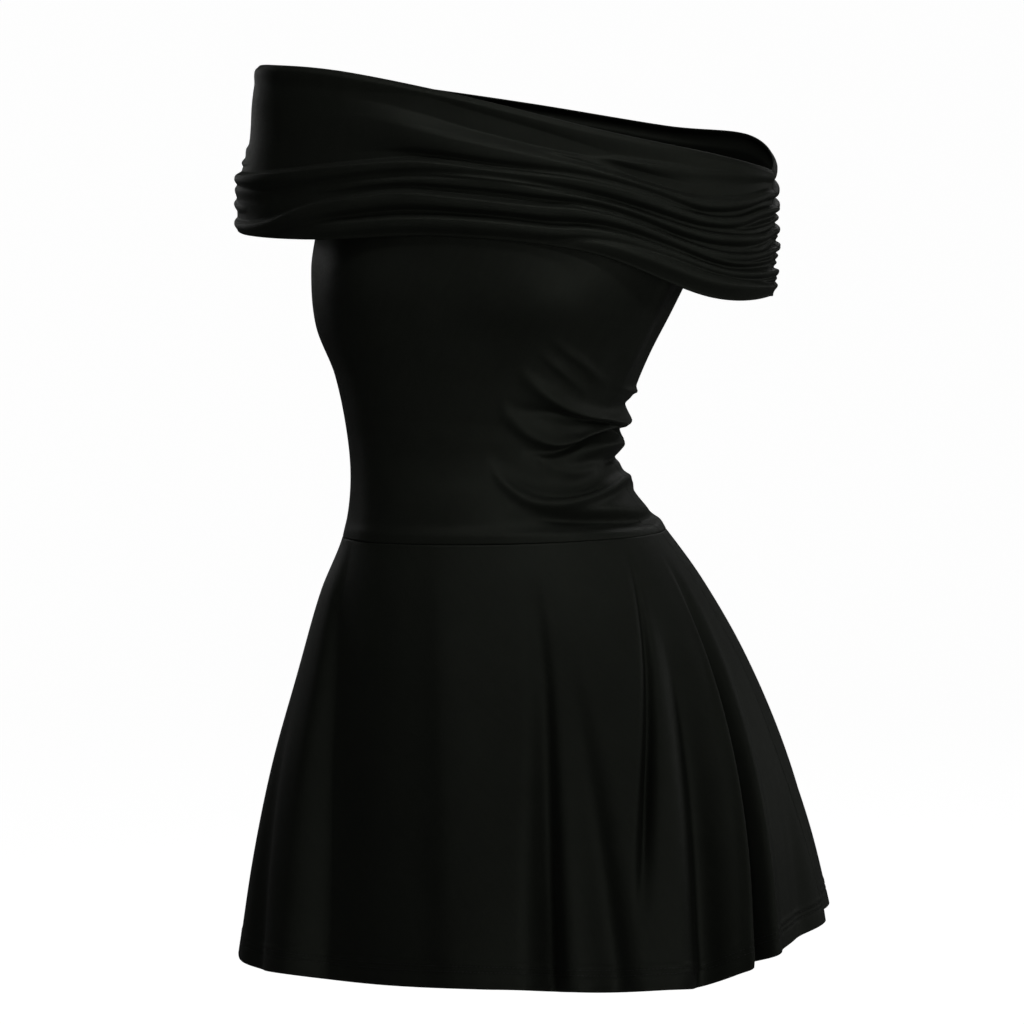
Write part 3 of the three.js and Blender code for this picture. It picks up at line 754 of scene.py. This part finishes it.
@dataclass
class CollarPanel(Panel):
    """The front or back half of the draped collar, gathered into the seams over the arms."""

    collar: CollarShape = field(default_factory=CollarShape)
    neck_roll: float = 2.6
    roll_up: float = 5.0  # how far from the upper edge the roll stands highest, and how far it then falls
    roll_down: float = 14.0
    lower_over: float = 5.0  # the folds flatten over this distance from the lower edge, to this share
    lower_kept: float = 0.35
    crowding: float = 0.5  # how much closer the columns are over the arms
    blend: float = 4.0  # how sharply neighbouring folds meet
    folds: tuple[Fold, ...] = (
        Fold("upper", (
            (0, 0.17, 3, 4, 5), (8, 0.18, 4.5, 4, 6), (20, 0.25, 5.5, 4, 8), (36, 0.325, 6.5, 4, 10),
            (50, 0.34, 7.5, 4.5, 13), (62, 0.33, 8.5, 6, 15), (74, 0.33, 9, 8, 16), (87, 0.325, 9, 10, 17),
            (98, 0.3, 7.5, 12, 18), (108, 0.28, 3.5, 13, 20), (122, 0.28, 0, 14, 20),
        ), **ROLLED),
        Fold("upper_branch", (
            (0, 0.05, 0, 3, 4), (10, 0.06, 2.5, 3, 5), (24, 0.09, 3.5, 3, 6), (36, 0.13, 4, 3, 7),
            (46, 0.165, 4.5, 3, 7), (56, 0.205, 4.5, 3, 7), (66, 0.25, 4, 3, 6), (76, 0.29, 2.5, 3, 6),
            (84, 0.31, 0, 3, 6),
        )),
        Fold("second", (
            (0, 0.27, 6.2, 3, 5), (12, 0.31, 5, 3, 6), (24, 0.4, 5.5, 3, 7), (36, 0.44, 6, 3, 8),
            (49, 0.43, 6.5, 3, 9), (64, 0.44, 7, 3, 10), (80, 0.49, 7.5, 3.2, 11), (98, 0.51, 7.5, 3.2, 11),
            (114, 0.57, 7, 3.2, 11), (132, 0.635, 6, 3.2, 10), (150, 0.67, 5, 3, 8), (168, 0.69, 5, 3, 6),
            (180, 0.69, 5, 3, 5),
        ), **ROLLED),
        Fold("third", (
            (0, 0.44, 3, 3, 5), (13, 0.5, 5, 3, 6), (25, 0.53, 6, 3, 7), (41, 0.56, 6, 3, 8),
            (60, 0.565, 5.5, 3, 8), (80, 0.58, 5, 3, 8), (97, 0.62, 4.5, 3, 8), (108, 0.66, 3.5, 3, 8),
            (118, 0.7, 1.5, 3, 7), (128, 0.74, 0, 3, 7),
        ), **ROLLED),
        Fold("fourth", (
            (0, 0.58, 6.6, 3, 6), (10, 0.62, 5.5, 3, 6), (22, 0.66, 6, 3, 7), (41, 0.665, 6.5, 3, 8),
            (51, 0.66, 7, 3, 9), (64, 0.67, 8, 3, 11), (73, 0.71, 8, 3, 12), (90, 0.727, 8, 3, 12),
            (99, 0.725, 8, 3, 12), (109, 0.755, 8, 3, 12), (121, 0.81, 7, 3, 11), (129, 0.865, 6, 3, 9),
            (137, 0.915, 5, 3, 7), (150, 0.945, 3.8, 3, 6), (168, 0.95, 3, 3, 5), (180, 0.95, 2, 3, 5),
        ), **ROLLED),
        Fold("fourth_branch", (
            (0, 0.67, 1.4, 2.6, 4), (10, 0.69, 4.5, 2.6, 4), (22, 0.715, 5, 2.6, 4), (41, 0.705, 5, 2.6, 4),
            (52, 0.7, 4, 2.6, 5), (60, 0.7, 0, 2.6, 6),
        )),
        Fold("fifth", (
            (0, 0.775, 6.8, 2.6, 6), (24, 0.785, 6, 2.6, 6), (31, 0.775, 6, 2.6, 6), (41, 0.76, 5.5, 2.6, 7),
            (51, 0.775, 5.5, 3, 8), (61, 0.81, 6, 3, 8), (69, 0.86, 7, 3, 9), (80, 0.87, 7.5, 3, 10),
            (91, 0.88, 7.5, 3, 10), (106, 0.9, 6.5, 3, 9), (114, 0.915, 5, 3, 8), (124, 0.94, 0, 3, 7),
        ), **ROLLED),
        Fold("lower_roll", (
            (0, 0.92, 3, 3, 5), (8, 0.9, 5, 5, 6), (20, 0.885, 7, 8, 9), (31, 0.88, 8, 9, 9),
            (41, 0.875, 8, 9, 9), (50, 0.885, 7, 8, 8), (58, 0.905, 5, 6, 7), (68, 0.94, 0, 5, 6),
        )),
        Fold("gather_a", (
            (0, 0.36, 3.2, 2, 3), (10, 0.4, 3, 2.4, 3.4), (20, 0.455, 2.4, 2.4, 3.4), (30, 0.49, 0, 3, 4),
        )),
        Fold("gather_b", (
            (0, 0.51, 1.2, 2, 3), (8, 0.56, 3.4, 2, 3.4), (17, 0.6, 3, 2, 3.4), (28, 0.615, 0, 2, 4),
        )),
        Fold("gather_c", (
            (0, 0.725, 2.6, 2, 3), (8, 0.75, 3, 2, 3), (18, 0.752, 2, 2, 3), (26, 0.745, 0, 2, 3),
        )),
        Fold("gather_d", ((0, 0.85, 3.6, 2, 3), (7, 0.85, 3, 2, 3), (16, 0.835, 0, 2, 4))),
        Fold("left_a", ((158, 0.55, 0, 3, 5), (170, 0.53, 2, 3, 5), (180, 0.52, 2.5, 3, 5))),
        Fold("left_b", ((152, 0.62, 0, 3, 4), (168, 0.61, 2.5, 3, 4), (180, 0.6, 2, 3, 4))),
        Fold("left_c", (
            (136, 0.78, 0, 3, 5), (148, 0.77, 1.4, 3, 5), (166, 0.765, 2.8, 3, 5), (180, 0.77, 2.2, 3, 4),
        )),
        Fold("left_d", ((150, 0.87, 0, 3, 4), (168, 0.85, 3, 3, 4), (180, 0.85, 4.4, 3, 4))),
        Fold("back_upper", (
            (180, 0.34, 1, 8, 10), (200, 0.34, 4, 8, 14), (225, 0.31, 7.5, 8, 16), (260, 0.27, 8, 7, 16),
            (295, 0.25, 8, 6, 14), (325, 0.23, 7, 5, 10), (345, 0.19, 5, 4, 7), (360, 0.17, 4, 4, 5),
        ), **ROLLED),
        Fold("back_second", (
            (180, 0.69, 3.5, 3, 5), (195, 0.65, 5, 3, 8), (220, 0.58, 7, 3, 11), (250, 0.51, 7.5, 3, 12),
            (285, 0.45, 7.5, 3, 12), (315, 0.38, 7, 3, 10), (340, 0.31, 5.5, 3, 7), (360, 0.27, 4, 3, 5),
        ), **ROLLED),
        Fold("back_third", (
            (180, 0.76, 3, 3, 4), (205, 0.73, 5, 3, 7), (235, 0.66, 6, 3, 10), (270, 0.6, 6.5, 3, 10),
            (305, 0.54, 6, 3, 9), (335, 0.49, 5, 3, 7), (360, 0.45, 4, 3, 5),
        ), **ROLLED),
        Fold("back_fourth", (
            (180, 0.84, 3.2, 3, 4), (205, 0.83, 5, 3, 7), (235, 0.78, 7, 3, 10), (270, 0.73, 7.5, 3, 11),
            (305, 0.68, 7, 3, 10), (335, 0.62, 6, 3, 7), (360, 0.57, 4.5, 3, 5),
        ), **ROLLED),
        Fold("back_fifth", (
            (180, 0.95, 2, 3, 5), (205, 0.925, 4, 3, 6), (235, 0.885, 6.5, 3, 8), (270, 0.85, 7, 3, 9),
            (305, 0.83, 7, 3, 9), (335, 0.81, 6, 3, 7), (360, 0.79, 4, 3, 5),
        ), **ROLLED),
        Fold("back_gather_a", ((332, 0.45, 0, 3, 4), (345, 0.4, 3, 3, 4), (360, 0.36, 3.5, 3, 4))),
        Fold("back_gather_b", ((335, 0.56, 0, 3, 4), (350, 0.53, 3.2, 3, 4), (360, 0.51, 3.5, 3, 4))),
        Fold("back_gather_c", ((330, 0.7, 0, 3, 4), (345, 0.68, 3.2, 3, 4), (360, 0.66, 3.5, 3, 4))),
        Fold("back_gather_d", ((344, 0.86, 0, 3, 4), (353, 0.85, 3, 3, 4), (360, 0.85, 3.5, 3, 4))),
        Fold("back_gather_e", ((330, 0.9, 0, 3, 4), (345, 0.91, 3.5, 4, 5), (360, 0.91, 4, 4, 5))),
        Fold("back_gather_f", ((344, 0.74, 0, 3, 4), (352, 0.73, 3, 3, 4), (360, 0.73, 3.5, 3, 4))),
        Fold("back_left_a", ((180, 0.52, 2.5, 3, 5), (192, 0.5, 2, 3, 5), (206, 0.47, 0, 3, 5))),
        Fold("back_left_b", ((180, 0.61, 3, 3, 4), (194, 0.59, 2.5, 3, 5), (212, 0.55, 0, 3, 5))),
    )

    def angles(self) -> np.ndarray:
        """The angles of the panel's columns, closer together over the arms."""
        t = np.linspace(0.0, 1.0, self.across)
        return self.half.value + HALF_TURN * (t - self.crowding * np.sin(2 * math.pi * t) / (2 * math.pi))

    def outer(self, angle: np.ndarray, down: np.ndarray) -> np.ndarray:
        """The outer face at a grid of angles and shares of the way down, in mm."""
        upper, lower = self.collar.edge(Edge.UPPER, angle), self.collar.edge(Edge.LOWER, angle)
        height = upper - lower
        lifts = [fold.lift(angle, down, height) for fold in self.folds]
        bite = sum(np.minimum(lift, 0.0) for lift in lifts)
        lifts = [np.maximum(lift, 0.0) ** self.blend for lift in lifts]
        reach = down * height
        roll = self.neck_roll * (eased(reach / self.roll_up) - eased((reach - self.roll_up) / self.roll_down))
        rise = np.maximum((sum(lifts) + np.maximum(roll, 0.0) ** self.blend) ** (1 / self.blend) + bite, 0.0)
        rise *= self.lower_kept + (1 - self.lower_kept) * eased((1 - down) * height / self.lower_over)
        half_width = self.collar.half_width(angle, down)
        out = COLLAR_CLEARANCE + CLOTH + rise
        shift = np.full_like(out, COLLAR_SHIFT)
        return self.form.on_ring(angle, upper - height * down, half_width, shift, out)


def new_node(tree: bpy.types.NodeTree, kind: str, **values: object) -> bpy.types.Node:
    """Add a node.

    Args:
        tree: the node tree that it goes into.
        kind: the node's type.
        values: attributes by name, and input sockets as in_NAME.

    Returns:
        The node.
    """
    node = tree.nodes.new(kind)
    for key, value in values.items():
        if key.startswith("in_"):
            node.inputs[key[3:].replace("_", " ")].default_value = value
        else:
            setattr(node, key, value)
    return node


def new_material(name: str, values: dict[str, object]) -> tuple[bpy.types.Material, bpy.types.Node]:
    """Make a material.

    Args:
        name: its name.
        values: the values of the shader's own sockets.

    Returns:
        The material and its shader.
    """
    made = bpy.data.materials.new(name)
    made.use_nodes = True
    shader = made.node_tree.nodes["Principled BSDF"]
    for socket, value in values.items():
        shader.inputs[socket].default_value = value
    return made, shader


def add_colour(shader: bpy.types.Node, factor: Socket, dark: Triple, light: Triple) -> None:
    """Colour a shader between two colours.

    Args:
        shader: the Principled BSDF.
        factor: 0 for the dark colour, 1 for the light one.
        dark: the dark colour.
        light: the light colour.
    """
    tree = shader.id_data
    mix = new_node(tree, "ShaderNodeMix", data_type="RGBA", in_A=(*dark, 1.0), in_B=(*light, 1.0))
    tree.links.new(factor, mix.inputs["Factor"])
    tree.links.new(mix.outputs["Result"], shader.inputs["Base Color"])


def add_bump(normal: Socket, height: Socket, depth: float) -> Socket:
    """Feed a Normal socket with a bump.

    Args:
        normal: the socket.
        height: the bump's height.
        depth: how deep the whole height is, in metres.

    Returns:
        The bump's own Normal socket, for a bump under it.
    """
    tree = normal.id_data
    bump = new_node(tree, "ShaderNodeBump", in_Distance=depth, in_Strength=1.0)
    tree.links.new(height, bump.inputs["Height"])
    tree.links.new(bump.outputs["Normal"], normal)
    return bump.inputs["Normal"]


def new_group(name: str, takes: dict[str, str], gives: tuple[str, ...]) -> tuple[bpy.types.NodeTree, ...]:
    """Start a shader node group.

    Args:
        name: the group's name.
        takes: its inputs' names and kinds.
        gives: the names of its outputs, which are all numbers.

    Returns:
        The group, its input node and its output node.
    """
    tree = bpy.data.node_groups.new(name, "ShaderNodeTree")
    for socket, kind in takes.items():
        tree.interface.new_socket(socket, in_out="INPUT", socket_type=kind)
    for socket in gives:
        tree.interface.new_socket(socket, in_out="OUTPUT", socket_type="NodeSocketFloat")
    return tree, tree.nodes.new("NodeGroupInput"), tree.nodes.new("NodeGroupOutput")


class KnitGroup:
    """Shader node group of a fine jersey knit: columns of small loops, as a height."""

    NAME = "jersey_knit"
    LEAN = 1.6
    WALE_SHARE = 0.65

    @classmethod
    def tree(cls) -> bpy.types.NodeTree:
        """The group, made on its first use."""
        if cls.NAME in bpy.data.node_groups:
            return bpy.data.node_groups[cls.NAME]
        takes = {"Grain": "NodeSocketVector", "Wale": "NodeSocketFloat", "Course": "NodeSocketFloat"}
        tree, entry, leave = new_group(cls.NAME, takes, ("Height",))
        split = tree.nodes.new("ShaderNodeSeparateXYZ")
        tree.links.new(entry.outputs["Grain"], split.inputs[0])

        def math_node(operation: str, first: object, second: object = None) -> Socket:
            """Add a Math node with sockets or numbers as its inputs and return its output."""
            node = new_node(tree, "ShaderNodeMath", operation=operation)
            for socket, value in zip(node.inputs, (first, second)):
                if isinstance(value, Socket):
                    tree.links.new(value, socket)
                elif value is not None:
                    socket.default_value = value
            return node.outputs[0]

        across, down = (
            math_node("MULTIPLY", math_node("DIVIDE", place, entry.outputs[size]), 2 * math.pi)
            for place, size in zip(split.outputs, ("Wale", "Course"))
        )
        wales = math_node("ABSOLUTE", math_node("SINE", across))
        loops = math_node("SINE", math_node("ADD", down, math_node("MULTIPLY", wales, cls.LEAN)))
        tall = math_node("MULTIPLY", wales, cls.WALE_SHARE)
        height = math_node("ADD", tall, math_node("MULTIPLY", loops, 1 - cls.WALE_SHARE))
        tree.links.new(height, leave.inputs["Height"])
        return tree


class MottleGroup:
    """Shader node group of soft uneven tone: broad patches, faint lengthwise streaks and fine fibre."""

    NAME = "cloth_mottle"
    PATCHES = {"in_Scale": 28.0, "in_Detail": 4.0, "in_Roughness": 0.6}
    STREAKS = {"in_Scale": 220.0, "in_Detail": 3.0, "in_Roughness": 0.6}
    FIBRE = {"in_Scale": 900.0, "in_Detail": 2.0, "in_Roughness": 0.7}
    STREAK_STRETCH = (1.0, 0.12, 0.0)
    STREAK_SHARE = 0.4

    @classmethod
    def tree(cls) -> bpy.types.NodeTree:
        """The group, made on its first use."""
        if cls.NAME in bpy.data.node_groups:
            return bpy.data.node_groups[cls.NAME]
        takes = {"Position": "NodeSocketVector", "Grain": "NodeSocketVector"}
        tree, entry, leave = new_group(cls.NAME, takes, ("Tone", "Fibre"))

        def noise(place: Socket, sizes: dict[str, float]) -> Socket:
            """Add a Noise Texture node at a place and return its factor."""
            node = new_node(tree, "ShaderNodeTexNoise", **sizes)
            tree.links.new(place, node.inputs["Vector"])
            return node.outputs["Fac"]

        stretch = new_node(tree, "ShaderNodeMapping", in_Scale=cls.STREAK_STRETCH)
        tree.links.new(entry.outputs["Grain"], stretch.inputs["Vector"])
        mix = new_node(tree, "ShaderNodeMath", operation="MULTIPLY_ADD")
        mix.inputs[1].default_value = cls.STREAK_SHARE
        tree.links.new(noise(stretch.outputs[0], cls.STREAKS), mix.inputs[0])
        wide = new_node(tree, "ShaderNodeMath", operation="MULTIPLY")
        wide.inputs[1].default_value = 1 - cls.STREAK_SHARE
        tree.links.new(noise(entry.outputs["Position"], cls.PATCHES), wide.inputs[0])
        tree.links.new(wide.outputs[0], mix.inputs[2])
        tree.links.new(mix.outputs[0], leave.inputs["Tone"])
        tree.links.new(noise(entry.outputs["Position"], cls.FIBRE), leave.inputs["Fibre"])
        return tree


@dataclass(frozen=True)
class JerseyFinish:
    """Black stretch jersey with a dull, soft sheen."""

    name: str = "black_jersey"
    dark: Triple = (0.0042, 0.0048, 0.0037)
    light: Triple = (0.0075, 0.0087, 0.0067)
    roughness: tuple[float, float] = (0.5, 0.66)
    specular: float = 0.25
    specular_tint: Triple = (0.93, 1.0, 0.85)
    sheen: float = 0.01
    sheen_roughness: float = 0.4
    wale: float = 0.0008
    course: float = 0.0007
    knit_depth: float = 0.00006
    fibre_depth: float = 0.00005
    noise_range: tuple[float, float] = (0.3, 0.7)

    def material(self) -> bpy.types.Material:
        """Make the material.

        Returns:
            The jersey's material.
        """
        made, shader = new_material(self.name, {
            "Specular IOR Level": self.specular,
            "Specular Tint": (*self.specular_tint, 1.0),
            "Sheen Weight": self.sheen,
            "Sheen Roughness": self.sheen_roughness,
        })
        tree = made.node_tree
        grain = new_node(tree, "ShaderNodeAttribute", attribute_name="grain")
        place = new_node(tree, "ShaderNodeTexCoord")
        knit = new_node(
            tree, "ShaderNodeGroup", node_tree=KnitGroup.tree(), in_Wale=self.wale, in_Course=self.course
        )
        mottle = new_node(tree, "ShaderNodeGroup", node_tree=MottleGroup.tree())
        tree.links.new(grain.outputs["Vector"], knit.inputs["Grain"])
        tree.links.new(grain.outputs["Vector"], mottle.inputs["Grain"])
        tree.links.new(place.outputs["Object"], mottle.inputs["Position"])

        def spread(value: Socket, low: float, high: float) -> Socket:
            """Spread the noise's usual range over the range from low to high."""
            least, most = self.noise_range
            node = new_node(
                tree, "ShaderNodeMapRange", in_From_Min=least, in_From_Max=most, in_To_Min=low, in_To_Max=high
            )
            tree.links.new(value, node.inputs["Value"])
            return node.outputs["Result"]

        add_colour(shader, spread(mottle.outputs["Tone"], 0.0, 1.0), self.dark, self.light)
        tree.links.new(spread(mottle.outputs["Fibre"], *self.roughness), shader.inputs["Roughness"])
        under = add_bump(shader.inputs["Normal"], knit.outputs["Height"], self.knit_depth)
        add_bump(under, mottle.outputs["Fibre"], self.fibre_depth)
        return made


@dataclass(frozen=True)
class ThreadFinish:
    """Black sewing thread, twisted, with a little more shine than the cloth."""

    name: str = "black_thread"
    dark: Triple = (0.006, 0.006, 0.006)
    light: Triple = (0.016, 0.016, 0.016)
    roughness: float = 0.45
    specular: float = 0.3
    twist: float = 2600.0
    unevenness: float = 1.5
    twist_depth: float = 0.00004

    def material(self) -> bpy.types.Material:
        """Make the material.

        Returns:
            The thread's material.
        """
        sockets = {"Roughness": self.roughness, "Specular IOR Level": self.specular}
        made, shader = new_material(self.name, sockets)
        tree = made.node_tree
        place = new_node(tree, "ShaderNodeTexCoord")
        strands = new_node(tree, "ShaderNodeTexWave", bands_direction="DIAGONAL", in_Scale=self.twist)
        strands.inputs["Distortion"].default_value = self.unevenness
        tree.links.new(place.outputs["Object"], strands.inputs["Vector"])
        add_colour(shader, strands.outputs["Fac"], self.dark, self.light)
        add_bump(shader.inputs["Normal"], strands.outputs["Fac"], self.twist_depth)
        return made


@dataclass(frozen=True)
class StageFinish:
    """Plain pale paper for the floor and the backdrop."""

    name: str = "pale_paper"
    colour: Triple = (0.35, 0.35, 0.35)
    roughness: float = 0.9
    specular: float = 0.1
    glow: float = 0.97

    def material(self) -> bpy.types.Material:
        """Make the material.

        Returns:
            The paper's material.
        """
        made, shader = new_material(self.name, {
            "Base Color": (*self.colour, 1.0),
            "Roughness": self.roughness,
            "Specular IOR Level": self.specular,
            "Emission Color": (1.0, 1.0, 1.0, 1.0),
        })
        glow = new_node(made.node_tree, "ShaderNodeMath", operation="MULTIPLY")
        glow.inputs[1].default_value = self.glow
        seen = made.node_tree.nodes.new("ShaderNodeLightPath")
        made.node_tree.links.new(seen.outputs["Is Camera Ray"], glow.inputs[0])
        made.node_tree.links.new(glow.outputs[0], shader.inputs["Emission Strength"])
        return made


@dataclass
class Dress:
    """The whole dress."""

    finish: JerseyFinish = field(default_factory=JerseyFinish)
    thread: ThreadFinish = field(default_factory=ThreadFinish)

    def panels(self) -> list[Panel]:
        """The six pieces of cloth."""
        form, collar = BodyForm(), CollarShape()
        bodice = dict(form=form, collar=collar, across=176, down=164, held=Held.STRETCHED)
        skirt = dict(form=form, across=372, down=116, held=Held.HUNG, stitch_lines=(14.0, 18.5))
        band = dict(form=form, collar=collar, across=272, down=144, held=Held.GATHERED)
        return [
            BodicePanel("bodice_front", Half.FRONT, cut=(0.46, 0.38, 0.125), **bodice),
            BodicePanel("bodice_back", Half.BACK, cut=(0.44, 0.38, 0.12), **bodice),
            SkirtPanel("skirt_front", Half.FRONT, cut=(0.94, 0.5, 0.235), **skirt),
            SkirtPanel("skirt_back", Half.BACK, cut=(0.98, 0.5, 0.245), **skirt),
            CollarPanel("collar_front", Half.FRONT, cut=(0.58, 0.2, 0.11), **band),
            CollarPanel("collar_back", Half.BACK, cut=(0.58, 0.2, 0.11), **band),
        ]

    def build(self) -> None:
        """Build and dress every panel, and report it."""
        jersey, thread = self.finish.material(), self.thread.material()
        for panel in self.panels():
            made = panel.build()
            made.data.materials.append(jersey)
            for row in panel.sewn:
                row.data.materials.append(thread)
            panel.declare(made)
            LOG.info("%s: %d faces, %d rows of stitches", made.name, len(made.data.polygons), len(panel.sewn))


@dataclass
class Studio:
    """The pale stage, the soft lights and the camera."""

    azimuth: float = 22.0
    elevation: float = 6.0
    distance: float = 2.6
    target: Triple = (0.0, 0.0, -0.271)
    focal_pixels: float = 2990.0
    picture_pixels: float = 1024.0
    sensor: float = 36.0
    floor: float = -1.25
    reach: float = 9.0
    flat: float = 0.55  # the share of the reach that stays flat
    backdrop: float = 6.6  # how high the paper bends up
    paper_rings: int = 40
    paper_sides: int = 96
    room: float = 0.048  # strength of the light from all round
    # name, place, size in metres, power in watts
    lights: tuple[tuple[str, Triple, float, float], ...] = (
        ("key", (2.2, -1.9, -0.55), 0.9, 13.5),
        ("fill", (-1.1, -2.3, -0.6), 1.1, 2.7),
        ("top", (0.15, -0.42, 1.55), 0.35, 3.0),
        ("right_side", (2.3, 1.7, 0.3), 0.7, 8.0),
        ("left_side", (-2.3, 1.5, 0.4), 0.8, 3.6),
        ("rear", (0.2, 2.6, 1.6), 1.2, 8.0),
    )
    # name, place, aim, radius in metres, cone in degrees, power in watts
    spots: tuple[tuple[str, Triple, Triple, float, float, float], ...] = (
        ("upper_spot", (0.08, -0.8, 1.45), (0.02, -0.1, -0.02), 0.12, 28.0, 19.5),
        ("side_spot", (1.45, -1.2, 0.55), (0.07, -0.04, -0.13), 0.1, 16.0, 18.5),
    )

    def stage(self) -> None:
        """Build the floor that bends up into a backdrop on every side."""
        rings, sides, bent = self.paper_rings, self.paper_sides, 1 - self.flat
        vertices, faces = [(0.0, 0.0, self.floor)], []
        for ring in range(1, rings + 1):
            share = ring / rings
            lift = max(0.0, (share - self.flat) / bent)
            radius = self.reach * (share if lift == 0.0 else self.flat + bent * math.sin(lift * math.pi / 2))
            height = self.floor + self.backdrop * (1 - math.cos(lift * math.pi / 2))
            for side in range(sides):
                turn = 2 * math.pi * side / sides
                vertices.append((radius * math.cos(turn), radius * math.sin(turn), height))
        for side in range(sides):
            after = (side + 1) % sides
            faces.append((0, 1 + side, 1 + after))
            for ring in range(rings - 1):
                low, high = 1 + ring * sides, 1 + (ring + 1) * sides
                faces.append((low + side, high + side, high + after, low + after))
        mesh = bpy.data.meshes.new("paper")
        mesh.from_pydata(vertices, [], faces)
        mesh.shade_smooth()
        mesh.materials.append(StageFinish().material())
        placed("paper", mesh)

    @staticmethod
    def hang(lamp: bpy.types.Light, place: Triple, aim: Triple) -> None:
        """Put a lamp at its place, turned to its aim.

        Args:
            lamp: the lamp's data.
            place: where it hangs.
            aim: the point it faces.
        """
        item = placed(lamp.name, lamp)
        item.location = place
        item.rotation_euler = (Vector(aim) - Vector(place)).to_track_quat("-Z", "Y").to_euler()

    def light(self) -> None:
        """Place the lights, each facing the dress, and a pale world."""
        for name, place, size, power in self.lights:
            lamp = bpy.data.lights.new(name, "AREA")
            lamp.shape, lamp.size, lamp.energy = "DISK", size, power
            self.hang(lamp, place, self.target)
        for name, place, aim, radius, cone, power in self.spots:
            lamp = bpy.data.lights.new(name, "SPOT")
            lamp.shadow_soft_size, lamp.spot_size, lamp.energy = radius, math.radians(cone), power
            lamp.spot_blend = 1.0
            self.hang(lamp, place, aim)
        world = bpy.data.worlds.new("soft_room")
        world.use_nodes = True
        sky = world.node_tree.nodes["Background"]
        sky.inputs["Color"].default_value = (1.0, 1.0, 1.0, 1.0)
        sky.inputs["Strength"].default_value = self.room
        bpy.context.scene.world = world

    def camera(self) -> None:
        """Place the camera where the photograph was taken from."""
        turn, rise = math.radians(self.azimuth), math.radians(self.elevation)
        away = Vector((math.sin(turn) * math.cos(rise), -math.cos(turn) * math.cos(rise), math.sin(rise)))
        lens = bpy.data.cameras.new("camera")
        lens.sensor_width = self.sensor
        lens.lens = self.sensor * self.focal_pixels / self.picture_pixels
        item = placed("camera", lens)
        item.location = Vector(self.target) + away * self.distance
        item.rotation_euler = (-away).to_track_quat("-Z", "Y").to_euler()
        bpy.context.scene.camera = item

    def build(self) -> None:
        """Set up the whole studio."""
        self.stage()
        self.light()
        self.camera()
        bpy.context.scene.view_settings.view_transform = "Standard"
        LOG.info("studio: %d lights", len(self.lights) + len(self.spots))


def main() -> None:
    logging.basicConfig(level=logging.INFO, format="%(name)s: %(message)s")
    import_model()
    Studio().build()
    Dress().build()


if __name__ == "__main__":
    main()
